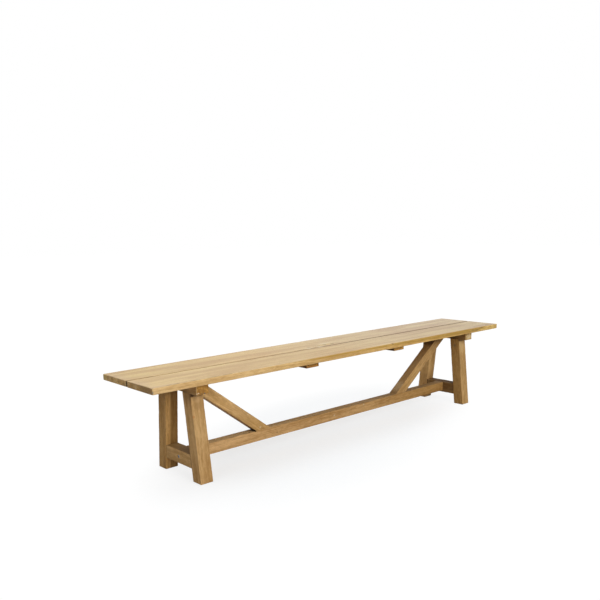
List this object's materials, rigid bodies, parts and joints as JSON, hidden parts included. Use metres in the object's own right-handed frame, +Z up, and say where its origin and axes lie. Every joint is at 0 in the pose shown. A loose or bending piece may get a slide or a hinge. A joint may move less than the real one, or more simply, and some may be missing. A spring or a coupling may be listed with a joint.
{
  "type": "outdoor bench",
  "caption": "Long backless farmhouse bench in solid wood: plank seat on splayed end frames, joined by a low stretcher with slanted braces.",
  "frame": {"origin": "on the floor, under the middle of the seat", "axes": "+X along the bench's length, towards the end at the picture's right; +Y from the front edge to the back edge; +Z up"},
  "size_m": [2.3, 0.4, 0.45],
  "materials": {
    "plank_wood": "sanded, unsealed, pale tan with long grain",
    "frame_wood": "planed, unsealed, golden brown",
    "plug_wood": "cut across the grain, pale",
    "steel": "zinc plated, satin",
    "glide_plastic": "black, matt"
  },
  "bodies": {
    "root": {"seat_plank_front": "plank_wood", "seat_plank_back": "plank_wood", "batten_left": "frame_wood", "batten_right": "frame_wood", "bearer_left": "frame_wood", "bearer_right": "frame_wood", "leg_left_front": "frame_wood", "leg_left_back": "frame_wood", "leg_right_front": "frame_wood", "leg_right_back": "frame_wood", "rail_left": "frame_wood", "rail_right": "frame_wood", "stretcher": "frame_wood", "brace_left": "frame_wood", "brace_right": "frame_wood", "brace_plug_left": "plug_wood", "brace_plug_right": "plug_wood", "foot_glide_left_front": "glide_plastic", "foot_glide_left_back": "glide_plastic", "foot_glide_right_front": "glide_plastic", "foot_glide_right_back": "glide_plastic", "stretcher_bolt_left": "steel", "stretcher_bolt_right": "steel", "stretcher_washer_left": "steel", "stretcher_washer_right": "steel", "stretcher_barrel_nut_left": "steel", "stretcher_barrel_nut_right": "steel", "brace_bolt_left": "steel", "brace_bolt_right": "steel", "brace_washer_left": "steel", "brace_washer_right": "steel", "brace_barrel_nut_left": "steel", "brace_barrel_nut_right": "steel", "brace_head_screw_left": "steel", "brace_head_screw_right": "steel", "bearer_screw_left_1": "steel", "bearer_screw_left_2": "steel", "bearer_screw_left_3": "steel", "bearer_screw_left_4": "steel", "bearer_screw_right_1": "steel", "bearer_screw_right_2": "steel", "bearer_screw_right_3": "steel", "bearer_screw_right_4": "steel", "batten_screw_left_1": "steel", "batten_screw_left_2": "steel", "batten_screw_left_3": "steel", "batten_screw_left_4": "steel", "batten_screw_right_1": "steel", "batten_screw_right_2": "steel", "batten_screw_right_3": "steel", "batten_screw_right_4": "steel"}
  },
  "joints": []
}
